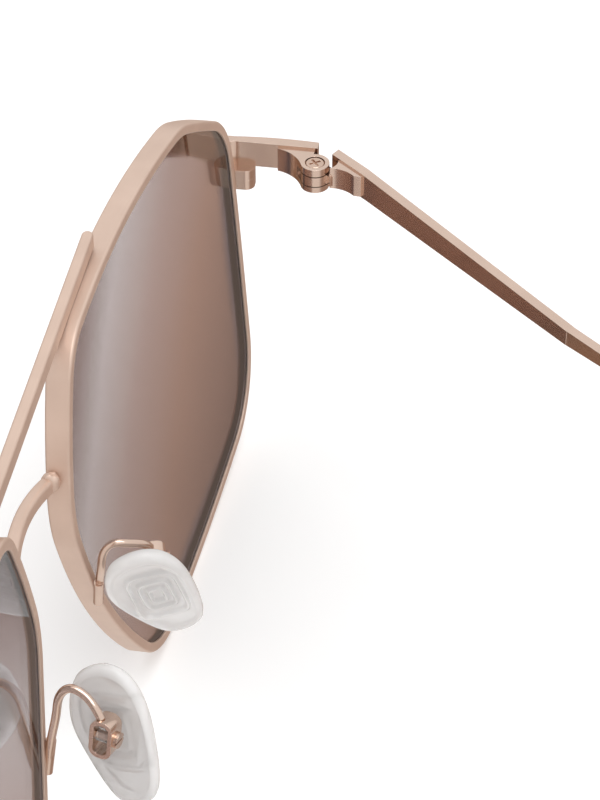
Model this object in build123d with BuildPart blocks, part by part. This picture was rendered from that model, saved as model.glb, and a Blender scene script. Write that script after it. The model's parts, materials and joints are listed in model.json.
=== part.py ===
from build123d import *
import os
from math import cos, radians, sin

os.makedirs("parts", exist_ok=True)

# X runs across the face, Y back to the ears and Z up. The glasses stand on z = 0.
HINGE_X = 67.7  # middle of the face to a hinge axis
HINGE_Y = -34.5
HINGE_Z = 37.36  # table to the top of the hinge barrels

# front
WRAP = 3.6  # each rim turns back by this much towards its temple
LEAN = 3.5  # rim bottoms stand nearer the cheeks than the brow
LENS_X = 38.0
RIM_RADIUS = 400.0  # the rims follow a shallow ball, hollow side to the eyes
RIM_DEPTH = 2.4
RIM_THICK = 1.05
RIM_ROUND = 0.25
LENS_THICK = 1.6
LENS_INSET = 0.25  # back of the rim to back of the lens
GROOVE = 0.6  # beyond the rim's inner edge

# brow bar and bridge
BAR_HALF = 26.5
BAR_DEPTH = 1.1
BAR_HEIGHT = 1.5
BAR_TOP = 19.4
BRIDGE_DEEP = 1.3
BRIDGE_HIGH = 1.6

# hinge, heights measured down from the top of the barrel
BARREL_R = 1.6
BARREL_H = 3.0
KNUCKLE_TOP = 0.95
KNUCKLE_BOTTOM = 2.25
KNUCKLE_PLAY = 0.05
PIN_R = 0.54
END_FACE_X = 2.33  # hinge axis to the inner face of the end piece
END_THICK = 1.12
END_TOP = 0.28
END_BOTTOM = -2.88

# temples
FOLD = 41.0  # each temple stands this far folded in from straight back
BLADE_IN = 2.2  # hinge axis to the inner face of the blade
BLADE_THICK = 1.15
WIRE_THICK = 1.05
WIRE_HIGH = 1.5
BOW_AT = 37.0
BOW = 4.0
HOOK_RADIUS = 24.0
HOOK_ANGLE = 60.0
TIP_HIGH = 4.2
TIP_THICK = 3.0
TIP_STRAIGHT = 20.9  # from the end of the hook's curve to the end of the tip

# nose pads
PAD_AT = (-9.0, -6.4, -9.2)
PAD_THICK = 1.5
PAD_PIVOT = (1.4, -2.6)
WIRE_R = 0.4
FOOT_R = 0.5  # where the pad arm is soldered along the rim


def spot(x, y, z):
    """A point given from the middle of the face, the hinge axes and the barrel tops."""
    return Vector(x, HINGE_Y + y, HINGE_Z + z)


def bowed(a, b, rise):
    """An arc from a to b that stands off the chord to its left by rise."""
    a, b = Vector(*a), Vector(*b)
    along = (b - a).normalized()
    middle = (a + b) * 0.5 + Vector(-along.Y, along.X) * rise
    return ThreePointArc(a, middle, b)


def save(part, name):
    part.label = name
    export_step(part, f"parts/{name}.step")


wrap, lean = radians(WRAP), radians(LEAN)
lens_plane = Plane(
    origin=spot(-LENS_X, -12.03, -10.0),
    x_dir=(-cos(wrap), sin(wrap), 0),
    z_dir=(sin(wrap) * cos(lean), cos(wrap) * cos(lean), sin(lean)),
)
ahead = lens_plane.offset(-5.0)

# the lens opening: x towards the temple, y up
corners = [
    ((-25.6, 26.7), 1.4, 4.5),
    ((14.6, 22.6), 0.3, 14.0),
    ((29.4, 13.2), 1.4, 10.0),
    ((28.6, -22.9), 2.2, 10.0),
    ((-12.3, -25.0), 2.1, 12.0),
    ((-30.8, 10.5), 0.6, 12.0),
]
with BuildSketch() as opening:
    with BuildLine():
        for i, (corner, rise, _) in enumerate(corners):
            bowed(corner, corners[(i + 1) % len(corners)][0], rise)
    make_face()
    for corner, _, radius in corners:
        fillet(opening.vertices().sort_by_distance((*corner, 0))[0], radius)


def grown(amount):
    """The lens opening moved out all round: each edge is an arc and keeps its own centre."""
    with BuildSketch() as outline:
        with BuildLine():
            for edge in opening.edges():
                reach = 1 + amount / edge.radius
                middle = edge.arc_center
                ThreePointArc(*(middle + (edge @ t - middle) * reach for t in (0, 0.5, 1)))
        make_face()
    return outline.sketch


def disc(grow, back, front):
    """The lens opening grown by that much, between two depths ahead of the rim's back face."""
    with BuildPart() as plug:
        with BuildSketch(ahead):
            add(grown(grow))
        extrude(amount=8)
        with Locations(lens_plane.location * Location((0, 0, RIM_RADIUS), (90, 0, 0))):
            Sphere(RIM_RADIUS + front, mode=Mode.INTERSECT)
            Sphere(RIM_RADIUS + back, mode=Mode.SUBTRACT)
    return plug.part


lens_front = LENS_INSET + LENS_THICK
rim_plug = disc(RIM_THICK, 0, RIM_DEPTH + 1)

# ---------------------------------------------------------------- rims and lenses
with BuildPart() as right_rim:
    add(disc(RIM_THICK, 0, RIM_DEPTH))
    fillet(right_rim.faces().sort_by(SortBy.AREA)[-2:].edges(), RIM_ROUND)
    add(disc(0, -1, RIM_DEPTH + 1), mode=Mode.SUBTRACT)
    add(disc(GROOVE, LENS_INSET - 0.02, lens_front + 0.02), mode=Mode.SUBTRACT)

with BuildPart() as left_rim:
    mirror(right_rim.part, about=Plane.YZ)

with BuildPart() as right_lens:
    add(disc(GROOVE - 0.04, LENS_INSET, lens_front))

with BuildPart() as left_lens:
    mirror(right_lens.part, about=Plane.YZ)

# ---------------------------------------------------------------- brow bar and bridge
with BuildPart() as brow_bar:
    with BuildSketch(Plane(origin=spot(0, -15.25, BAR_TOP - BAR_HEIGHT))):
        SlotOverall(2 * BAR_HALF, BAR_DEPTH)
    extrude(amount=BAR_HEIGHT)
    fillet(brow_bar.faces().sort_by(Axis.Z)[-1].edges(), 0.3)
    add(right_rim.part, mode=Mode.SUBTRACT)
    add(left_rim.part, mode=Mode.SUBTRACT)

with BuildPart() as lower_bridge:
    with BuildLine():
        bridge_line = ThreePointArc(spot(-6.95, -15.3, 5.2), spot(0, -16.5, 5.9), spot(6.95, -15.3, 5.2))
    with BuildSketch(Plane(origin=bridge_line @ 0, x_dir=(0, 1, 0), z_dir=bridge_line % 0)):
        RectangleRounded(BRIDGE_DEEP, BRIDGE_HIGH, 0.45)
    sweep()
    add(right_rim.part, mode=Mode.SUBTRACT)
    add(left_rim.part, mode=Mode.SUBTRACT)

# ---------------------------------------------------------------- end piece
end_x = -HINGE_X - END_FACE_X


def table(z):
    """A level plane at a height below the barrel top, with the hinge axes on its x axis."""
    return Plane(origin=spot(0, 0, z))


with BuildPart() as right_end_piece:
    with BuildSketch(table(END_BOTTOM)):
        with BuildLine():
            ThreePointArc((end_x - END_THICK, -0.05), (end_x - 1.27, -5.0), (end_x - 0.95, -9.6))
            ThreePointArc((end_x - 0.95, -9.6), (end_x - 0.68, -11.1), (end_x + 0.2, -12.0))
            Line((end_x + 0.2, -12.0), (end_x + 1.2, -11.2))
            Line((end_x + 1.2, -11.2), (end_x + 1.2, -10.4))
            ThreePointArc((end_x + 1.2, -10.4), (end_x + 0.3, -10.0), (end_x, -9.2))
            Line((end_x, -9.2), (end_x, -0.05))
            Line((end_x, -0.05), (end_x - END_THICK, -0.05))
        make_face()
    extrude(amount=END_TOP - END_BOTTOM)
    add(rim_plug, mode=Mode.SUBTRACT)

with BuildPart() as left_end_piece:
    mirror(right_end_piece.part, about=Plane.YZ)

# ---------------------------------------------------------------- closing block
BLOCK_TOP = -2.8
BLOCK_SPLIT = -4.05
BLOCK_BOTTOM = -5.3
BLOCK_SCREW = (-69.8, -8.35)

with BuildSketch() as block_outline:
    with BuildLine():
        Line((-68.7, -9.5), (-68.7, -8.0))
        ThreePointArc((-68.7, -8.0), (-69.05, -7.35), (-69.9, -7.1))
        Line((-69.9, -7.1), (-70.3, -7.1))
        ThreePointArc((-70.3, -7.1), (-70.72, -7.28), (-70.9, -7.7))
        Line((-70.9, -7.7), (-70.9, -11.2))
        Line((-70.9, -11.2), (-69.4, -11.2))
        Line((-69.4, -11.2), (-69.4, -9.5))
        Line((-69.4, -9.5), (-68.7, -9.5))
    make_face()

with BuildPart() as right_block_upper:
    with BuildSketch(table(BLOCK_SPLIT)):
        add(block_outline.sketch)
    extrude(amount=BLOCK_TOP - BLOCK_SPLIT)
    with BuildSketch(table(BLOCK_SPLIT)):
        with Locations(BLOCK_SCREW):
            Circle(0.5)
    extrude(amount=0.9, mode=Mode.SUBTRACT)
    add(rim_plug, mode=Mode.SUBTRACT)
    add(right_end_piece.part, mode=Mode.SUBTRACT)

with BuildPart() as right_block_lower:
    with BuildSketch(table(BLOCK_BOTTOM)):
        add(block_outline.sketch)
    extrude(amount=BLOCK_SPLIT - BLOCK_BOTTOM)
    with BuildSketch(table(BLOCK_BOTTOM)):
        with Locations(BLOCK_SCREW):
            Circle(0.5)
    extrude(amount=3, mode=Mode.SUBTRACT)
    with BuildSketch(table(BLOCK_BOTTOM)):
        with Locations(BLOCK_SCREW):
            Circle(0.78)
    extrude(amount=0.45, mode=Mode.SUBTRACT)
    add(rim_plug, mode=Mode.SUBTRACT)

with BuildPart() as right_block_screw:
    with BuildSketch(table(BLOCK_BOTTOM + 0.05)):
        with Locations(BLOCK_SCREW):
            Circle(0.74)
    extrude(amount=0.4)
    with BuildSketch(table(BLOCK_BOTTOM + 0.45)):
        with Locations(BLOCK_SCREW):
            Circle(0.48)
    extrude(amount=1.65)
    with BuildSketch(table(BLOCK_BOTTOM + 0.05)):
        with Locations(BLOCK_SCREW):
            Rectangle(0.22, 1.6)
    extrude(amount=0.18, mode=Mode.SUBTRACT)

with BuildPart() as left_block_upper:
    mirror(right_block_upper.part, about=Plane.YZ)

with BuildPart() as left_block_lower:
    mirror(right_block_lower.part, about=Plane.YZ)

with BuildPart() as left_block_screw:
    mirror(right_block_screw.part, about=Plane.YZ)

# ---------------------------------------------------------------- front half of the hinge
with BuildPart() as right_front_leaf:
    with BuildSketch(table(-BARREL_H)):
        with BuildLine():
            Line((end_x, -4.5), (end_x + 0.3, -4.5))
            ThreePointArc((end_x + 0.3, -4.5), (end_x + 1.15, -2.75), (-67.2, -1.52))
            Line((-67.2, -1.52), (-67.7, -0.35))
            Line((-67.7, -0.35), (end_x, -0.35))
            Line((end_x, -0.35), (end_x, -4.5))
        make_face()
        with Locations((-HINGE_X, 0)):
            Circle(BARREL_R)
    extrude(amount=BARREL_H)
    with BuildSketch(table(-KNUCKLE_BOTTOM - KNUCKLE_PLAY)):
        with Locations((-HINGE_X, 0)):
            Circle(BARREL_R + 0.55)
    extrude(amount=KNUCKLE_BOTTOM - KNUCKLE_TOP + 2 * KNUCKLE_PLAY, mode=Mode.SUBTRACT)
    with BuildSketch(table(-BARREL_H)):
        with Locations((-HINGE_X, 0)):
            Circle(PIN_R + 0.02)
    extrude(amount=BARREL_H, mode=Mode.SUBTRACT)
    with BuildSketch(table(-0.5)):
        with Locations((-HINGE_X, 0)):
            Circle(1.12)
    extrude(amount=0.5, mode=Mode.SUBTRACT)

with BuildPart() as left_front_leaf:
    mirror(right_front_leaf.part, about=Plane.YZ)

with BuildPart() as right_hinge_screw:
    with BuildSketch(table(-0.5)):
        with Locations((-HINGE_X, 0)):
            Circle(1.03)
    extrude(amount=0.48)
    fillet(right_hinge_screw.faces().sort_by(Axis.Z)[-1].edges(), 0.15)
    with BuildSketch(table(-BARREL_H)):
        with Locations((-HINGE_X, 0)):
            Circle(PIN_R)
    extrude(amount=BARREL_H - 0.5)
    with BuildSketch(table(-0.24)):
        with Locations((-HINGE_X, 0)):
            Rectangle(1.35, 0.3, rotation=35)
            Rectangle(0.3, 1.35, rotation=35)
    extrude(amount=1, mode=Mode.SUBTRACT)

with BuildPart() as left_hinge_screw:
    mirror(right_hinge_screw.part, about=Plane.YZ)

for rim, hand in ((right_rim, "right"), (left_rim, "left")):
    save(rim.part, f"{hand}_rim")
for lens, hand in ((right_lens, "right"), (left_lens, "left")):
    save(lens.part, f"{hand}_lens")
save(brow_bar.part, "brow_bar")
save(lower_bridge.part, "lower_bridge")
save(right_end_piece.part, "right_end_piece")
save(left_end_piece.part, "left_end_piece")
save(right_block_upper.part, "right_block_upper")
save(left_block_upper.part, "left_block_upper")
save(right_block_lower.part, "right_block_lower")
save(left_block_lower.part, "left_block_lower")
save(right_block_screw.part, "right_block_screw")
save(left_block_screw.part, "left_block_screw")
save(right_front_leaf.part, "right_front_leaf")
save(left_front_leaf.part, "left_front_leaf")
save(right_hinge_screw.part, "right_hinge_screw")
save(left_hinge_screw.part, "left_hinge_screw")

# ---------------------------------------------------------------- temples
for hand, side in (("right", -1), ("left", 1)):
    fold = radians(FOLD)
    bowed_fold = radians(FOLD - BOW)
    hinge = spot(side * HINGE_X, 0, 0)
    back = Vector(-side * sin(fold), cos(fold), 0)
    out = Vector(side * cos(fold), sin(fold), 0)
    rear = Vector(-side * sin(bowed_fold), cos(bowed_fold), 0)

    def level(z):
        """A level plane on the hinge axis: x along the temple, y away from the face."""
        return Plane(origin=hinge + Vector(0, 0, z), x_dir=back, z_dir=(0, 0, -side))

    upright = Plane(origin=hinge, x_dir=back, z_dir=back.cross(Vector(0, 0, 1)))
    rear_start = hinge + back * BOW_AT + out * (BLADE_IN + 0.55)
    rear_plane = Plane(origin=rear_start, x_dir=rear, z_dir=rear.cross(Vector(0, 0, 1)))

    with BuildPart() as temple_leaf:
        with BuildSketch(level(-(KNUCKLE_TOP + KNUCKLE_BOTTOM) / 2)):
            Circle(BARREL_R)
            with Locations((1.1, 0.95)):
                Rectangle(2.2, 1.3)
            Circle(PIN_R + 0.04, mode=Mode.SUBTRACT)
        extrude(amount=(KNUCKLE_BOTTOM - KNUCKLE_TOP) / 2, both=True)
        with BuildSketch(level(-1.28)):
            with BuildLine():
                ThreePointArc((1.95, 0.45), (1.95, 1.35), (1.39, 2.2))
                Line((1.39, 2.2), (5.4, 2.2))
                Line((5.4, 2.2), (5.4, 1.95))
                Line((5.4, 1.95), (4.75, 1.5))
                ThreePointArc((4.75, 1.5), (3.2, 1.3), (1.95, 0.45))
            make_face()
        extrude(amount=1.33, both=True)
    save(temple_leaf.part, f"{hand}_temple_leaf")

    with BuildPart() as temple_blade:
        with BuildSketch(level(-2)):
            with BuildLine():
                Polyline(
                    (0.35, BLADE_IN),
                    (0.1, BLADE_IN + BLADE_THICK),
                    (BOW_AT, BLADE_IN + 1.1),
                    (BOW_AT, BLADE_IN),
                    close=True,
                )
            make_face()
        extrude(amount=5, both=True)
        with BuildSketch(upright):
            with BuildLine():
                Polyline(
                    (0.05, END_TOP),
                    (5.0, END_TOP),
                    (BOW_AT, -2.25),
                    (BOW_AT, -4.05),
                    (6.0, END_BOTTOM),
                    (0.05, END_BOTTOM),
                    close=True,
                )
            make_face()
        extrude(amount=6, both=True, mode=Mode.INTERSECT)
        with BuildSketch(rear_plane):
            with BuildLine():
                Polyline((-0.1, -2.24), (6.0, -2.7), (6.0, -4.2), (-0.1, -4.05), close=True)
            make_face()
            with BuildLine():
                straight = Line((5.0, -3.4), (38.5, -6.3))
                hook = JernArc(straight @ 1, straight % 1, HOOK_RADIUS, -(HOOK_ANGLE - 5))
                Line(hook @ 1, (hook @ 1) + (hook % 1) * 17)
            trace(line_width=WIRE_HIGH)
        extrude(amount=WIRE_THICK / 2, both=True)

    with BuildPart() as temple_tip:
        with BuildLine(rear_plane) as tip_path:
            tip_start = Line((24.0, -3.4 - 19.0 * 2.9 / 33.5), (38.5, -6.3))
            tip_hook = JernArc(tip_start @ 1, tip_start % 1, HOOK_RADIUS, -(HOOK_ANGLE - 5))
            Line(tip_hook @ 1, (tip_hook @ 1) + (tip_hook % 1) * TIP_STRAIGHT)
        tip_line = tip_path.line
        with BuildSketch(Plane(origin=tip_line @ 0, x_dir=rear_plane.z_dir, z_dir=tip_line % 0)):
            RectangleRounded(TIP_THICK, TIP_HIGH, 1.2)
        sweep()
        add(temple_blade.part, mode=Mode.SUBTRACT)
    save(temple_blade.part, f"{hand}_temple")
    save(temple_tip.part, f"{hand}_temple_tip")

# ---------------------------------------------------------------- nose pads
pad_plane = Plane(origin=spot(*PAD_AT), x_dir=(-0.282, 0.96, 0), z_dir=(0.935, 0.274, -0.225))
pad_side = Plane(origin=pad_plane.origin, x_dir=pad_plane.y_dir, z_dir=pad_plane.x_dir)

with BuildPart() as right_pad_core:
    with BuildSketch(pad_plane.offset(-0.3)):
        with Locations((-0.1, 0)):
            RectangleRounded(4.6, 6.4, 1.4)
    extrude(amount=0.5)
    with BuildSketch(pad_side):
        with Locations((PAD_PIVOT[0], PAD_PIVOT[1] / 2)):
            Rectangle(1.5, -PAD_PIVOT[1])
        with Locations(PAD_PIVOT):
            Circle(0.62)
    extrude(amount=0.6, both=True)
    with BuildSketch(pad_side):
        with Locations(PAD_PIVOT):
            Circle(0.44)
    extrude(amount=2, both=True, mode=Mode.SUBTRACT)

with BuildPart() as right_pad:
    with BuildSketch(pad_plane.offset(-PAD_THICK / 2)):
        with BuildLine():
            Spline(
                (-4.5, 4.5),
                (-2.1, 6.7),
                (0.6, 6.35),
                (2.85, 3.0),
                (4.35, -3.45),
                (3.55, -6.2),
                (0.9, -6.95),
                (-2.3, -3.8),
                (-4.7, 0.2),
                periodic=True,
            )
        make_face()
    extrude(amount=PAD_THICK)
    fillet(right_pad.edges().filter_by(GeomType.LINE, reverse=True), 0.55)
    add(right_pad_core.part, mode=Mode.SUBTRACT)

with BuildPart() as right_pad_box:
    with BuildSketch(pad_plane.offset(-3.5)):
        with Locations((0, PAD_PIVOT[0])):
            RectangleRounded(2.2, 3.8, 0.9)
            RectangleRounded(1.4, 3.0, 0.5, mode=Mode.SUBTRACT)
    extrude(amount=1.9)
    with BuildSketch(pad_side):
        with Locations(PAD_PIVOT):
            Circle(0.4)
    extrude(amount=2, both=True, mode=Mode.SUBTRACT)

with BuildPart() as right_pad_screw:
    with BuildSketch(pad_side.offset(-1.05)):
        with Locations(PAD_PIVOT):
            Circle(0.38)
    extrude(amount=2.15)
    with BuildSketch(pad_side.offset(1.1)):
        with Locations(PAD_PIVOT):
            Circle(0.75)
    extrude(amount=0.4)
    with BuildSketch(pad_side.offset(1.5)):
        with Locations(PAD_PIVOT):
            Rectangle(0.22, 2)
    extrude(amount=-0.2, mode=Mode.SUBTRACT)

with BuildPart() as right_pad_arm:
    with BuildLine():
        arm_line = Spline(
            spot(-10.5, -12.6, -12.4),
            spot(-10.0, -12.15, -9.2),
            spot(-9.35, -11.75, -6.9),
            spot(-9.2, -11.35, -4.9),
            spot(-9.25, -10.3, -3.75),
            spot(-9.55, -9.2, -3.9),
            spot(-10.25, -8.1, -4.45),
            spot(-10.88, -7.3, -5.42),
        )
        foot_line = Line(spot(-10.8, -12.72, -13.5), spot(-10.0, -12.32, -10.0))
    with BuildSketch(Plane(origin=arm_line @ 0, z_dir=arm_line % 0)):
        Circle(WIRE_R)
    sweep(path=arm_line)
    with BuildSketch(Plane(origin=foot_line @ 0, z_dir=foot_line % 0)):
        Circle(FOOT_R)
    sweep(path=foot_line)
    add(right_rim.part, mode=Mode.SUBTRACT)
    add(right_lens.part, mode=Mode.SUBTRACT)
    add(right_pad_box.part, mode=Mode.SUBTRACT)

with BuildPart() as left_pad_core:
    mirror(right_pad_core.part, about=Plane.YZ)

with BuildPart() as left_pad:
    mirror(right_pad.part, about=Plane.YZ)

with BuildPart() as left_pad_box:
    mirror(right_pad_box.part, about=Plane.YZ)

with BuildPart() as left_pad_screw:
    mirror(right_pad_screw.part, about=Plane.YZ)

with BuildPart() as left_pad_arm:
    mirror(right_pad_arm.part, about=Plane.YZ)

save(right_pad_core.part, "right_pad_core")
save(left_pad_core.part, "left_pad_core")
save(right_pad.part, "right_nose_pad")
save(left_pad.part, "left_nose_pad")
save(right_pad_box.part, "right_pad_box")
save(left_pad_box.part, "left_pad_box")
save(right_pad_screw.part, "right_pad_screw")
save(left_pad_screw.part, "left_pad_screw")
save(right_pad_arm.part, "right_pad_arm")
save(left_pad_arm.part, "left_pad_arm")
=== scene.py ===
import json
from math import cos, pi, radians, sin

import bmesh
import bpy
from mathutils import Matrix, Vector, noise


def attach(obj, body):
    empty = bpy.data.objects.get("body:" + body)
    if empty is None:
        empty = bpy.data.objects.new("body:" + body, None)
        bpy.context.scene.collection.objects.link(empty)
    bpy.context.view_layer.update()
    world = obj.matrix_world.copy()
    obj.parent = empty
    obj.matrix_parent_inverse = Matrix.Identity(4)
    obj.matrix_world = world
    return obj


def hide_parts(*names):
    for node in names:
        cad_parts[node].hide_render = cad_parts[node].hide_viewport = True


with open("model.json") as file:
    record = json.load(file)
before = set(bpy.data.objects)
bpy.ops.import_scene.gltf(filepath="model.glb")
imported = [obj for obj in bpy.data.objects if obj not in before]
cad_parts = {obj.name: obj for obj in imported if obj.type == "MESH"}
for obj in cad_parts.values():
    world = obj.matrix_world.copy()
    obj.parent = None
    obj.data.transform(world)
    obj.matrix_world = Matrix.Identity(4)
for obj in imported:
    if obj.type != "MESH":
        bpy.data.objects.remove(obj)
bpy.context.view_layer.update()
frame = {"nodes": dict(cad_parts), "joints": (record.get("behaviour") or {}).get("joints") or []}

MM = 0.001
SIDES = (("right", -1), ("left", 1))
nodes = frame["nodes"]
joints = {joint["name"]: joint for joint in frame["joints"]}
HINGE_DROP = 1.55 * MM  # from the top of the barrels down to the joint's own point
right_hinge = Vector(joints["right_temple_fold"]["pos_m"]) + Vector((0, 0, HINGE_DROP))


def spot(x, y, z):
    """Millimetres from the middle of the face, the hinge axes and the barrel tops."""
    return Vector((x * MM, right_hinge.y + y * MM, right_hinge.z + z * MM))


def on_side(direction, side):
    """A direction given for the wearer's right side, mirrored for the left."""
    return Vector((-side * direction[0], direction[1], direction[2]))


# ---------------------------------------------------------------- node helpers
def new_material(name):
    material = bpy.data.materials.new(name)
    material.use_nodes = True
    tree = material.node_tree
    return material, tree, tree.nodes["Principled BSDF"]


def node(tree, kind, **settings):
    made = tree.nodes.new(kind)
    for key, value in settings.items():
        setattr(made, key, value)
    return made


def axes(tree, output="Object"):
    """The X, Y and Z of a point, in the part's own metres at rest unless another output is named."""
    coordinates = node(tree, "ShaderNodeTexCoord")
    split = node(tree, "ShaderNodeSeparateXYZ")
    tree.links.new(coordinates.outputs[output], split.inputs["Vector"])
    return split.outputs["X"], split.outputs["Y"], split.outputs["Z"]


def grain(tree, scale, detail=2.0, stretch=None, rough=0.5):
    """Noise with about that many features a metre; stretch squeezes it along some axes."""
    coordinates = node(tree, "ShaderNodeTexCoord")
    texture = node(tree, "ShaderNodeTexNoise")
    texture.inputs["Scale"].default_value = scale
    texture.inputs["Detail"].default_value = detail
    texture.inputs["Roughness"].default_value = rough
    source = coordinates.outputs["Object"]
    if stretch:
        mapping = node(tree, "ShaderNodeMapping")
        mapping.inputs["Scale"].default_value = stretch
        tree.links.new(source, mapping.inputs["Vector"])
        source = mapping.outputs["Vector"]
    tree.links.new(source, texture.inputs["Vector"])
    return texture.outputs["Fac"]


def ramp(tree, factor, stops):
    """Colours by factor; each stop is a position and a colour."""
    made = node(tree, "ShaderNodeValToRGB")
    while len(made.color_ramp.elements) < len(stops):
        made.color_ramp.elements.new(0.5)
    for element, (position, colour) in zip(made.color_ramp.elements, stops):
        element.position = position
        element.color = (*colour, 1)
    tree.links.new(factor, made.inputs["Fac"])
    return made.outputs["Color"]


def spread(tree, value, low, high, to_low, to_high):
    """Maps low..high to to_low..to_high, held at both ends."""
    made = node(tree, "ShaderNodeMapRange")
    for key, number in (("From Min", low), ("From Max", high), ("To Min", to_low), ("To Max", to_high)):
        made.inputs[key].default_value = number
    tree.links.new(value, made.inputs["Value"])
    return made.outputs["Result"]


def maths(tree, operation, first, second=None):
    """One operation; each value is a number or another node's output."""
    made = node(tree, "ShaderNodeMath", operation=operation)
    for socket, value in zip(made.inputs, (first, second)):
        if value is None:
            continue
        if isinstance(value, (int, float)):
            socket.default_value = value
        else:
            tree.links.new(value, socket)
    return made.outputs[0]


def blend_to(tree, factor, base, colour, mode="MIX"):
    """The base colour, turning to the given one as the factor goes from 0 to 1."""
    made = node(tree, "ShaderNodeMix", data_type="RGBA", blend_type=mode)
    factor_socket, base_socket, colour_socket = made.inputs[0], made.inputs[6], made.inputs[7]
    colour_socket.default_value = (*colour, 1)
    tree.links.new(factor, factor_socket)
    tree.links.new(base, base_socket)
    return made.outputs[2]


def bump(tree, height, distance, strength=1.0, normal=None):
    made = node(tree, "ShaderNodeBump")
    made.inputs["Distance"].default_value = distance
    made.inputs["Strength"].default_value = strength
    tree.links.new(height, made.inputs["Height"])
    if normal:
        tree.links.new(normal, made.inputs["Normal"])
    return made.outputs["Normal"]


def soft_edges(tree, radius):
    """A normal that turns smoothly over edges."""
    made = node(tree, "ShaderNodeBevel", samples=6)
    made.inputs["Radius"].default_value = radius
    return made.outputs["Normal"]


def edge_mask(tree, rounded):
    """0 on flat faces, 1 right on an edge: how far the rounded normal turns from the true one."""
    geometry = node(tree, "ShaderNodeNewGeometry")
    dot = node(tree, "ShaderNodeVectorMath", operation="DOT_PRODUCT")
    tree.links.new(geometry.outputs["Normal"], dot.inputs[0])
    tree.links.new(rounded, dot.inputs[1])
    return spread(tree, dot.outputs["Value"], 0.995, 0.86, 0.0, 1.0)


# ---------------------------------------------------------------- metal
PLATING = ((0.68, 0.515, 0.425), (0.73, 0.56, 0.465), (0.88, 0.74, 0.64))  # dull, clean and rubbed
SCREW_PLATING = ((0.60, 0.43, 0.34), (0.70, 0.52, 0.42), (0.85, 0.68, 0.58))
EDGE_WEAR = 0.5  # share of the rubbed colour right on an edge
BARREL_REACH = 1.66 * MM  # just over the hinge barrels' radius
REACH_FADE = 0.05 * MM
KNUCKLE_SEAMS = (0.95 * MM, 2.25 * MM)  # below the barrel tops
SEAM_FADE = (0.03 * MM, 0.1 * MM)  # from a seam's middle: still full, and faded out
# Colour of the painted shade in the gaps between hinge knuckles.
SEAM_SHADE_COLOUR = (0.10, 0.055, 0.035)


def seam_shade_mask(tree):
    """1 in the painted shade where the knuckles of a hinge meet, 0 elsewhere."""
    x, y, z = axes(tree)
    aside = maths(tree, "SUBTRACT", maths(tree, "ABSOLUTE", x), abs(right_hinge.x))
    behind = maths(tree, "SUBTRACT", y, right_hinge.y)
    far = maths(tree, "MAXIMUM", maths(tree, "ABSOLUTE", aside), maths(tree, "ABSOLUTE", behind))
    near = spread(tree, far, BARREL_REACH, BARREL_REACH + REACH_FADE, 1.0, 0.0)
    lines = []
    for drop in KNUCKLE_SEAMS:
        away = maths(tree, "SUBTRACT", z, right_hinge.z - drop)
        lines.append(spread(tree, maths(tree, "ABSOLUTE", away), *SEAM_FADE, 1.0, 0.0))
    return maths(tree, "MULTIPLY", near, maths(tree, "MAXIMUM", *lines))


def satin_metal(name, plating, roughness, edge=0.16 * MM, depth=1.0, metallic=1.0, uneven=0.07, shade_seams=False):
    """Plated metal with a fine grain, cloudy plating and edges rubbed brighter.

    edge is the radius that edges seem to have, depth scales the grain, uneven is how far the roughness
    varies, and seams adds painted shade between hinge knuckles.
    """
    dull, clean, rubbed = plating
    material, tree, shader = new_material(name)
    rounded = soft_edges(tree, edge)
    clouds = grain(tree, 260, 3)
    fine = grain(tree, 9000, 2)
    brushed = grain(tree, 2600, 3, stretch=(0.25, 1, 2.2))

    base = ramp(tree, clouds, ((0.3, dull), (0.7, clean)))
    worn = maths(tree, "MULTIPLY", edge_mask(tree, rounded), EDGE_WEAR)
    colour = blend_to(tree, worn, base, rubbed)
    if shade_seams:
        # Painted shade darkens the gaps between the hinge knuckles.
        colour = blend_to(tree, seam_shade_mask(tree), colour, SEAM_SHADE_COLOUR)
    tree.links.new(colour, shader.inputs["Base Color"])

    patchy = maths(tree, "ADD", maths(tree, "MULTIPLY", brushed, 0.6), maths(tree, "MULTIPLY", clouds, 0.4))
    smoothest, roughest = roughness * (1 - uneven), roughness * (1 + uneven)
    tree.links.new(spread(tree, patchy, 0.3, 0.7, smoothest, roughest), shader.inputs["Roughness"])

    grained = bump(tree, fine, 0.004 * MM, 0.35 * depth, rounded)
    tree.links.new(bump(tree, brushed, 0.006 * MM, 0.35 * depth, grained), shader.inputs["Normal"])
    shader.inputs["Metallic"].default_value = metallic
    return material


# ---------------------------------------------------------------- lens materials
# All three masks go by the place on a lens, in metres from the middle of the face and from the table.
TINT_SPAN = (-40 * MM, 60 * MM)  # outward less upward
BORDER_OUT = (38 * MM, 69 * MM)  # outward, begins and full
BORDER_DOWN = (27 * MM, 0.5 * MM)  # height, begins and full
BORDER_POWER = 8  # how tightly the band keeps to the edges
BORDER_FADE = (0.28, 0.62)
BORDER_MOST = 0.92
# The corner at the brow and the temple carries a painted amber reflection.
CORNER_OUT, CORNER_UP = 0.65, 0.76  # how outward and upward add up towards the corner
CORNER_FADE = (70.6 * MM, 71.4 * MM)
CORNER_MOST = 0.75
CORNER_REFLECTION_COLOUR = (0.16, 0.08, 0.03)
# The blue-grey of the darker band along the cheek and temple edges.
BORDER_GREY = (0.034, 0.052, 0.088)


def lens_tint(tree):
    """0 to 1 across a lens, from the brow and nose corner down to the cheek and temple corner."""
    x, _, z = axes(tree)
    across = maths(tree, "SUBTRACT", maths(tree, "ABSOLUTE", x), z)
    along = spread(tree, across, *TINT_SPAN, 0.0, 1.0)
    cloudy = maths(tree, "MULTIPLY", maths(tree, "SUBTRACT", grain(tree, 45, 1), 0.5), 0.05)
    return maths(tree, "ADD", along, cloudy)


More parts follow.
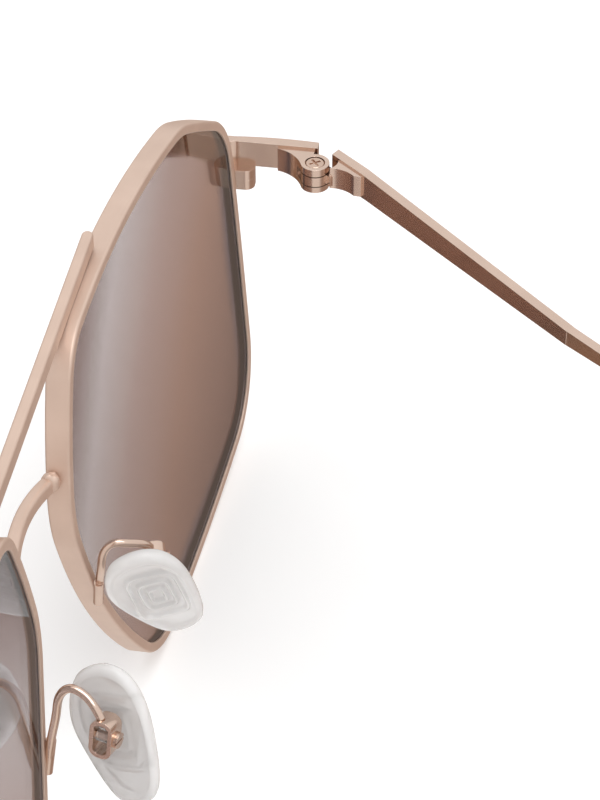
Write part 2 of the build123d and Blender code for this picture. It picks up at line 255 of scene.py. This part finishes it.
def lens_border(tree):
    """0 over most of a lens, nearly 1 in the darker blue-grey band along its cheek and temple edges."""
    x, _, z = axes(tree)
    outward = spread(tree, maths(tree, "ABSOLUTE", x), *BORDER_OUT, 0.0, 1.0)
    down = spread(tree, z, *BORDER_DOWN, 0.0, 1.0)
    powers = [maths(tree, "POWER", value, BORDER_POWER) for value in (outward, down)]
    return spread(tree, maths(tree, "ADD", *powers), *BORDER_FADE, 0.0, BORDER_MOST)


def painted_reflection_corner(tree):
    """0 over most of a lens, higher in the corner at the brow and the temple, where an amber reflection is
    painted.
    """
    x, _, z = axes(tree)
    outward = maths(tree, "MULTIPLY", maths(tree, "ABSOLUTE", x), CORNER_OUT)
    upward = maths(tree, "MULTIPLY", z, CORNER_UP)
    return spread(tree, maths(tree, "ADD", outward, upward), *CORNER_FADE, 0.0, CORNER_MOST)


def lens_mirror():
    """The coating on the front of a lens: silver grey to brown, a painted amber reflection in the corner at
    the brow and temple, and a darker blue-grey border.
    """
    material, tree, shader = new_material("lens_mirror")
    stops = (
        (0.05, (0.25, 0.20, 0.21)),
        (0.20, (0.55, 0.52, 0.53)),
        (0.42, (0.42, 0.32, 0.30)),
        (0.66, (0.34, 0.21, 0.165)),
        (0.95, (0.18, 0.11, 0.09)),
    )
    tinted = ramp(tree, lens_tint(tree), stops)
    # Paints an amber reflection into the corner at the brow and the temple.
    cornered = blend_to(tree, painted_reflection_corner(tree), tinted, CORNER_REFLECTION_COLOUR)
    tree.links.new(blend_to(tree, lens_border(tree), cornered, BORDER_GREY), shader.inputs["Base Color"])
    shader.inputs["Metallic"].default_value = 1.0
    tree.links.new(spread(tree, grain(tree, 30, 2), 0.3, 0.7, 0.03, 0.06), shader.inputs["Roughness"])
    tree.links.new(bump(tree, grain(tree, 60, 1), 0.004 * MM, 0.3), shader.inputs["Normal"])
    return material


def lens_glass():
    """The clear back of a lens, barely hazed."""
    material, tree, shader = new_material("lens_glass")
    stops = ((0.1, (1.0, 0.99, 0.985)), (0.9, (0.96, 0.94, 0.93)))
    tree.links.new(ramp(tree, lens_tint(tree), stops), shader.inputs["Base Color"])
    shader.inputs["Transmission Weight"].default_value = 1.0
    shader.inputs["IOR"].default_value = 1.5
    tree.links.new(spread(tree, grain(tree, 400, 2), 0.45, 0.8, 0.0, 0.03), shader.inputs["Roughness"])
    return material


def lens_edge():
    """The dark ground edge that sits in the rim's groove."""
    material, tree, shader = new_material("lens_edge")
    speck = grain(tree, 3000, 2)
    stops = ((0.3, (0.10, 0.11, 0.145)), (0.7, (0.15, 0.16, 0.20)))
    tree.links.new(ramp(tree, speck, stops), shader.inputs["Base Color"])
    tree.links.new(spread(tree, speck, 0.3, 0.7, 0.45, 0.6), shader.inputs["Roughness"])
    tree.links.new(bump(tree, speck, 0.01 * MM, 0.4), shader.inputs["Normal"])
    return material


# ---------------------------------------------------------------- pad and tip materials
def silicone():
    """Clear silicone with a frosted skin."""
    material, tree, shader = new_material("silicone")
    frost = grain(tree, 5200, 3)
    haze = grain(tree, 420, 2)
    stops = ((0.3, (0.955, 0.94, 0.93)), (0.7, (0.995, 0.985, 0.98)))
    tree.links.new(ramp(tree, haze, stops), shader.inputs["Base Color"])
    shader.inputs["Transmission Weight"].default_value = 0.4
    shader.inputs["IOR"].default_value = 1.41
    tree.links.new(spread(tree, haze, 0.3, 0.7, 0.1, 0.2), shader.inputs["Roughness"])
    tree.links.new(bump(tree, frost, 0.012 * MM, 0.35), shader.inputs["Normal"])
    return material


def core_plastic():
    """The clear plate inside a pad, nearly lost in the silicone round it."""
    material, tree, shader = new_material("core_plastic")
    haze = grain(tree, 900, 2)
    stops = ((0.3, (0.90, 0.88, 0.87)), (0.7, (0.97, 0.96, 0.95)))
    tree.links.new(ramp(tree, haze, stops), shader.inputs["Base Color"])
    shader.inputs["Transmission Weight"].default_value = 0.85
    shader.inputs["IOR"].default_value = 1.12
    tree.links.new(spread(tree, haze, 0.3, 0.7, 0.1, 0.2), shader.inputs["Roughness"])
    tree.links.new(bump(tree, haze, 0.01 * MM, 0.3), shader.inputs["Normal"])
    return material


def acetate():
    """Polished brown acetate: amber with darker smoky patches running along the tip."""
    material, tree, shader = new_material("tip_acetate")
    patches = grain(tree, 130, 3, stretch=(1, 0.55, 1), rough=0.6)
    stops = (
        (0.32, (0.030, 0.013, 0.008)),
        (0.47, (0.105, 0.043, 0.020)),
        (0.60, (0.250, 0.110, 0.045)),
        (0.78, (0.420, 0.210, 0.085)),
    )
    tree.links.new(ramp(tree, patches, stops), shader.inputs["Base Color"])
    tree.links.new(spread(tree, grain(tree, 700, 3), 0.35, 0.75, 0.13, 0.26), shader.inputs["Roughness"])
    tree.links.new(bump(tree, grain(tree, 1500, 2), 0.006 * MM, 0.3), shader.inputs["Normal"])
    shader.inputs["Coat Weight"].default_value = 0.6
    shader.inputs["Coat Roughness"].default_value = 0.06
    shader.inputs["Subsurface Weight"].default_value = 0.12
    shader.inputs["Subsurface Scale"].default_value = 0.8 * MM
    return material


def floor_paint():
    """Pale matt paint that glows a little, which keeps the shadows light."""
    material, tree, shader = new_material("floor_paint")
    speck = grain(tree, 35, 2)
    stops = ((0.3, (0.895, 0.895, 0.895)), (0.7, (0.915, 0.915, 0.915)))
    tree.links.new(ramp(tree, speck, stops), shader.inputs["Base Color"])
    shader.inputs["Roughness"].default_value = 0.8
    shader.inputs["Emission Color"].default_value = (1, 1, 1, 1)
    shader.inputs["Emission Strength"].default_value = 0.14
    return material


# ---------------------------------------------------------------- finishes of the CAD nodes
HINGE_LEAVES = ("front_leaf", "temple_leaf")
POLISHED = ("end_piece", "block_upper", "block_lower", "temple", "pad_arm", "pad_box")
SCREWS = ("hinge_screw", "block_screw", "pad_screw")
GLOSS = {"roughness": 0.2, "edge": 0.06 * MM, "depth": 0.02, "uneven": 0.015}

rose_gold = satin_metal("rose_gold", PLATING, 0.5, metallic=0.72)
polished = satin_metal("rose_gold_polished", PLATING, **GLOSS)
# The hinge finish has painted shade in the gaps between its knuckles.
hinge_metal = satin_metal("rose_gold_hinge", PLATING, **GLOSS, shade_seams=True)
screw = satin_metal("screw", SCREW_PLATING, 0.18, edge=0.08 * MM, depth=0.4)
clear, mirrored, ground = lens_glass(), lens_mirror(), lens_edge()
frosted, core, tip_brown = silicone(), core_plastic(), acetate()


def dress(name, material):
    """Gives a CAD node its finish."""
    target = nodes[name]
    target.data.materials.clear()
    target.data.materials.append(material)


dress("brow_bar", rose_gold)
dress("lower_bridge", rose_gold)
for hand, _ in SIDES:
    dress(f"{hand}_rim", rose_gold)
    dress(f"{hand}_pad_core", core)
    for parts, material in ((POLISHED, polished), (HINGE_LEAVES, hinge_metal), (SCREWS, screw)):
        for part in parts:
            dress(f"{hand}_{part}", material)


# ---------------------------------------------------------------- mesh helpers
def add_piece(name, mesh, body, stands_for=None):
    """Adds a piece that rides on a body, and may stand for a CAD node."""
    piece = bpy.data.objects.new(name, mesh)
    bpy.context.scene.collection.objects.link(piece)
    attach(piece, body)
    if stands_for:
        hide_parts(stands_for)


def finished_mesh(name, work, material):
    """A mesh with one finish from a bmesh, which is freed."""
    mesh = bpy.data.meshes.new(name)
    work.to_mesh(mesh)
    work.free()
    mesh.materials.append(material)
    return mesh


def rings_to_mesh(name, rings, material):
    """A closed skin over rings of equal length; the first and last ring are capped with a fan."""
    work = bmesh.new()
    rows = [[work.verts.new(point) for point in ring] for ring in rings]
    count = len(rows[0])
    for low, high in zip(rows, rows[1:]):
        for i in range(count):
            j = (i + 1) % count
            work.faces.new((low[i], low[j], high[j], high[i]))
    for row, turn in ((rows[0], -1), (rows[-1], 1)):
        middle = work.verts.new(sum((v.co for v in row), Vector()) / count)
        for i in range(count):
            j = (i + 1) % count
            work.faces.new((row[i], row[j], middle)[::turn])
    bmesh.ops.recalc_face_normals(work, faces=work.faces)
    for face in work.faces:
        face.smooth = True
    return finished_mesh(name, work, material)


# ---------------------------------------------------------------- lenses
LENS_REAR = (0.0627, 0.9962, 0.061)  # out of the back of the right lens
FACING = 0.7  # cosine within which a face belongs to the back or the front


def make_lens(hand, side):
    """The CAD lens with three finishes: clear at the back, mirror coated ahead, ground round its edge."""
    name = f"{hand}_lens"
    mesh = nodes[name].data.copy()
    mesh.materials.clear()
    for material in (clear, mirrored, ground):
        mesh.materials.append(material)
    rear = on_side(LENS_REAR, side).normalized()
    for polygon in mesh.polygons:
        facing = polygon.normal.dot(rear)
        polygon.material_index = 0 if facing > FACING else 1 if facing < -FACING else 2
    add_piece(f"{name}_coated", mesh, "front", name)


# ---------------------------------------------------------------- nose pads
PAD_AT = (9.0, -6.4, -9.2)
PAD_NORMAL = (0.935, 0.274, -0.225)  # out of the wearing face of the right pad
PAD_ALONG = (-0.282, 0.96, 0)
PAD_THICK = 1.5
PAD_OUTLINE = (
    (-4.5, 4.5),
    (-2.1, 6.7),
    (0.6, 6.35),
    (2.85, 3.0),
    (4.35, -3.45),
    (3.55, -6.2),
    (0.9, -6.95),
    (-2.3, -3.8),
    (-4.7, 0.2),
)
PAD_STEPS = 18  # points between two outline points
PAD_RINGS = 70  # from the middle of a face to the rim
LIP_FROM = 0.86  # share of the outline where a face starts to round over
DISH, DISH_EDGE, DISH_POWER = 0.42, 0.84, 6  # depth, reach and flatness of the wearing face's hollow
BACK_DISH = 0.1
FRAMES = ((0.7, 1.1), (1.45, 2.25), (2.35, 3.7))  # half width and half height of each line
FRAME_TURN = 0.25  # radians
FRAME_POWER = 5  # how square the frames are
LINE = 0.3  # half the width of a line
LINE_HIGH = 0.34


def closed_curve(points, steps):
    """A smooth closed curve through the points, by Catmull-Rom."""
    result, count = [], len(points)
    for i in range(count):
        a, b, c, d = (Vector(points[(i + k) % count]) for k in (-1, 0, 1, 2))
        slope = c - a
        bend = 2 * a - 5 * b + 4 * c - d
        twist = 3 * b - a - 3 * c + d
        for k in range(steps):
            t = k / steps
            result.append(0.5 * (2 * b + slope * t + bend * t**2 + twist * t**3))
    return result


def frame_line(x, y):
    """Height of the nested rounded frames that stand on the pad's wearing face."""
    height = 0.0
    turn_cos, turn_sin = cos(FRAME_TURN), sin(FRAME_TURN)
    x, y = x * turn_cos + y * turn_sin, -x * turn_sin + y * turn_cos
    for half_width, half_height in FRAMES:
        squared = (abs(x) / half_width) ** FRAME_POWER + (abs(y) / half_height) ** FRAME_POWER
        away = abs(squared ** (1 / FRAME_POWER) - 1) * half_width / LINE
        if away < 1:
            height = max(height, LINE_HIGH * cos(away * pi / 2) ** 2)
    return height


def lip_height(share):
    """Half the pad's thickness at a share of the outline: full, then rounded over to nothing."""
    lip = max(0.0, (share - LIP_FROM) / (1 - LIP_FROM))
    return PAD_THICK / 2 * (1 - lip**2) ** 0.5 if lip < 1 else 0.0


def pad_height(wearing, share, x, y):
    """How far a face of the pad stands from its middle plane, dished inside the lip."""
    if wearing:
        dish = DISH * (1 - min(1.0, share / DISH_EDGE) ** DISH_POWER)
    else:
        dish = BACK_DISH * (1 - share**2)
    height = lip_height(share) - (dish if share < LIP_FROM else 0.0)
    return height + frame_line(x, y) if wearing else -height


def make_pad(hand, side):
    """A soft pad: rounded rim, faces slightly dished, nested frames standing on the wearing face."""
    normal = on_side(PAD_NORMAL, side).normalized()
    along = on_side(PAD_ALONG, side).normalized()
    up = on_side(Vector(PAD_NORMAL).normalized().cross(Vector(PAD_ALONG).normalized()), side)
    centre = spot(side * PAD_AT[0], PAD_AT[1], PAD_AT[2])
    outline = closed_curve(PAD_OUTLINE, PAD_STEPS)
    middle = sum(outline, Vector((0, 0))) / len(outline)
    shares = [k / PAD_RINGS for k in range(1, PAD_RINGS + 1)]
    rings = []
    for wearing, order in ((True, shares), (False, shares[-2::-1])):
        for share in order:
            ring = []
            for point in outline:
                x, y = middle + (point - middle) * share
                z = pad_height(wearing, share, x, y)
                ring.append(centre + (along * x + up * y + normal * z) * MM)
            rings.append(ring)
    mesh = rings_to_mesh(f"{hand}_pad_soft", rings, frosted)
    add_piece(f"{hand}_pad_soft", mesh, f"{hand}_pad", f"{hand}_nose_pad")


# ---------------------------------------------------------------- temple tips
FOLD = 41.0  # degrees, how far the temples are folded at rest
BOW = 4.0  # degrees, turned back at the bow
BOW_AT = 37.0
BLADE_MIDDLE = 2.75  # from the hinge axis out to the middle of the blade
HOOK_RADIUS = 24.0
HOOK_TURN = 55.0
WIRE_START, TIP_BEND = (5.0, -3.4), (38.5, -6.3)  # the straight stretch behind the bow: along, up
TIP_MOUTH = 24.0  # along
TIP_END = 20.9  # straight length after the hook
TIP_HIGH = 4.2
TIP_THICK = 3.0
TIP_SQUARE = 0.72  # 1 is a round section, less is squarer
TIP_STEP = 0.6
SECTION = 40
MOUTH_ROUND, MOUTH_SHARE = 1.2, 0.55  # length of the round-in, and the section's share right at the mouth
END_ROUND, END_SHARE = 2.6, 0.02
SLIMMEST = 0.86  # share of the full section at the mouth, growing to 1 at the end
SWELL_POWER = 1.5


def tip_path():
    """Points and directions down the middle of a tip, as (along, up) in mm."""
    wire, bend = Vector(WIRE_START), Vector(TIP_BEND)
    start = wire + (bend - wire) * (TIP_MOUTH - wire.x) / (bend.x - wire.x)
    direction = (bend - start).normalized()
    length = (bend - start).length
    path = []
    for k in range(round(length / TIP_STEP)):
        path.append((start + direction * k * TIP_STEP, direction))
    centre = bend + Vector((direction.y, -direction.x)) * HOOK_RADIUS
    turns = round(radians(HOOK_TURN) * HOOK_RADIUS / TIP_STEP)
    for k in range(turns + 1):
        turned = Matrix.Rotation(-radians(HOOK_TURN) * k / turns, 2)
        path.append((centre + turned @ (bend - centre), turned @ direction))
    last, direction = path[-1]
    steps = round(TIP_END / TIP_STEP)
    for k in range(1, steps + 1):
        path.append((last + direction * TIP_END * k / steps, direction))
    return path


def rounded_in(share):
    """A quarter round: 0 at 0, 1 from 1 on."""
    return (1 - (1 - min(1.0, share)) ** 2) ** 0.5


def tip_size(run, total):
    """Share of the full section: a quick round-in at the mouth, slim through the bend, round at the end."""
    mouth = MOUTH_SHARE + (1 - MOUTH_SHARE) * rounded_in(run / MOUTH_ROUND)
    swell = SLIMMEST + (1 - SLIMMEST) * min(1.0, run / total) ** SWELL_POWER
    end = max(END_SHARE, rounded_in((total - run) / END_ROUND))
    return mouth * swell * end


def squared_wave(value):
    """A sine or cosine pushed outward, which makes an ellipse squarer."""
    return abs(value) ** TIP_SQUARE * (1 if value > 0 else -1)


def make_tip(hand, side):
    """The acetate tip over the rear of a temple, swept along its hook."""
    fold, rear_fold = radians(FOLD), radians(FOLD - BOW)
    hinge = spot(side * abs(right_hinge.x) / MM, 0, 0)
    back = Vector((-side * sin(fold), cos(fold), 0))
    out = Vector((side * cos(fold), sin(fold), 0))
    rear = Vector((-side * sin(rear_fold), cos(rear_fold), 0))
    across = Vector((side * cos(rear_fold), sin(rear_fold), 0))
    start = hinge + (back * BOW_AT + out * BLADE_MIDDLE) * MM
    path = tip_path()
    runs = [0.0]
    for (a, _), (b, _) in zip(path, path[1:]):
        runs.append(runs[-1] + (b - a).length)
    rings = []
    for (point, direction), run in zip(path, runs):
        size = tip_size(run, runs[-1])
        upward = rear * -direction.y + Vector((0, 0, direction.x))
        middle = start + (rear * point.x + Vector((0, 0, point.y))) * MM
        ring = []
        for k in range(SECTION):
            angle = 2 * pi * k / SECTION
            wide = squared_wave(cos(angle)) * TIP_THICK / 2
            high = squared_wave(sin(angle)) * TIP_HIGH / 2
            ring.append(middle + (across * wide + upward * high) * size * MM)
        rings.append(ring)
    mesh = rings_to_mesh(f"{hand}_tip_polished", rings, tip_brown)
    add_piece(f"{hand}_tip_polished", mesh, f"{hand}_temple", f"{hand}_temple_tip")


# ---------------------------------------------------------------- solder
SOLDER_AT = (6.9, -15.2, 5.4)
SOLDER_SIZE = (0.75, 0.85, 1.15)
SOLDER_WOBBLE = 0.16
SOLDER_LUMPS = 1.7  # how close the lumps of a bead are


def make_solder(hand, side):
    """A small uneven bead of solder where the lower bridge meets a rim."""
    name = f"{hand}_bridge_solder"
    centre = spot(side * SOLDER_AT[0], SOLDER_AT[1], SOLDER_AT[2])
    work = bmesh.new()
    bmesh.ops.create_icosphere(work, subdivisions=4, radius=1)
    for vert in work.verts:
        wobble = 1 + SOLDER_WOBBLE * noise.noise(vert.co * SOLDER_LUMPS + Vector((side, 0, 0)))
        vert.co = centre + Vector([v * s * wobble * MM for v, s in zip(vert.co, SOLDER_SIZE)])
    for face in work.faces:
        face.smooth = True
    add_piece(name, finished_mesh(name, work, rose_gold), "front")


for hand, side in SIDES:
    make_lens(hand, side)
    make_pad(hand, side)
    make_tip(hand, side)
    make_solder(hand, side)


# ---------------------------------------------------------------- floor, light and camera
FLOOR_HALF = 4.0  # metres
FLOOR_CELLS = 24
SKY = (  # by height, from straight below at 0 to straight above at 1
    (0.0, (1.0, 0.98, 0.96)),
    (0.075, (0.90, 0.85, 0.81)),
    (0.13, (0.32, 0.20, 0.135)),
    (0.30, (0.25, 0.15, 0.095)),
    (0.44, (0.30, 0.19, 0.13)),
    (0.52, (0.95, 0.94, 0.93)),
    (1.0, (1.02, 1.02, 1.02)),
)
SKY_STRENGTH = 0.95
PANELS = (  # axis, where the panel begins and is full, colour
    (0, 0.32, 0.62, (0.95, 0.91, 0.88)),
    (1, -0.05, 0.2, (0.45, 0.33, 0.27)),
)
LAMP_AT = (0.12, 0.1, 0.9)
LAMP_AIM = (0, 0, 0.02)
LAMP_SIDE = 0.5
LAMP_WATTS = 2.3
CAMERA_AT = (148.4, 31.21, 153.33)
CAMERA_TILT, CAMERA_SWING = 40.705, 8.651  # degrees down, and round from the left side to the back
CAMERA_LENS = 108.54


def make_floor():
    """A wide flat sheet, left out of reflections so that metal walls show the dark bands of the world."""
    work = bmesh.new()
    bmesh.ops.create_grid(work, x_segments=FLOOR_CELLS, y_segments=FLOOR_CELLS, size=FLOOR_HALF)
    floor = bpy.data.objects.new("floor", finished_mesh("floor", work, floor_paint()))
    bpy.context.scene.collection.objects.link(floor)
    floor.visible_glossy = False


def make_world():
    """Pale above, straight below and to the left, less so behind.

    It is brown elsewhere, for dark bands on the metal's walls.
    """
    world = bpy.data.worlds.new("studio")
    bpy.context.scene.world = world
    world.use_nodes = True
    tree = world.node_tree
    direction = axes(tree, "Generated")
    colour = ramp(tree, spread(tree, direction[2], -1.0, 1.0, 0.0, 1.0), SKY)
    for axis, begins, full, tone in PANELS:
        lit = spread(tree, direction[axis], begins, full, 0.0, 1.0)
        colour = blend_to(tree, lit, colour, tone, "LIGHTEN")
    tree.links.new(colour, tree.nodes["Background"].inputs["Color"])
    tree.nodes["Background"].inputs["Strength"].default_value = SKY_STRENGTH


def make_lamp():
    """One square soft light, high over the glasses."""
    light = bpy.data.lights.new("overhead", "AREA")
    light.shape = "RECTANGLE"
    light.size = light.size_y = LAMP_SIDE
    light.energy = LAMP_WATTS
    lamp = bpy.data.objects.new("overhead", light)
    bpy.context.scene.collection.objects.link(lamp)
    lamp.location = LAMP_AT
    lamp.rotation_euler = (Vector(LAMP_AIM) - Vector(LAMP_AT)).to_track_quat("-Z", "Y").to_euler()


def make_camera():
    """High over the wearer's left side, looking down across the nose pads at the right lens and hinge."""
    tilt, swing = radians(CAMERA_TILT), radians(CAMERA_SWING)
    back = Vector((cos(tilt) * cos(swing), cos(tilt) * sin(swing), sin(tilt)))
    right = Vector((-sin(swing), cos(swing), 0))
    up = back.cross(right)
    camera = bpy.data.cameras.new("camera")
    camera.lens = CAMERA_LENS
    camera.clip_start = 0.01
    camera.clip_end = 20
    eye = bpy.data.objects.new("camera", camera)
    bpy.context.scene.collection.objects.link(eye)
    turn = Matrix((right, up, back)).transposed().to_4x4()
    eye.matrix_world = Matrix.Translation(spot(*CAMERA_AT)) @ turn
    bpy.context.scene.camera = eye


make_floor()
make_world()
make_lamp()
make_camera()
bpy.context.scene.view_settings.view_transform = "Standard"
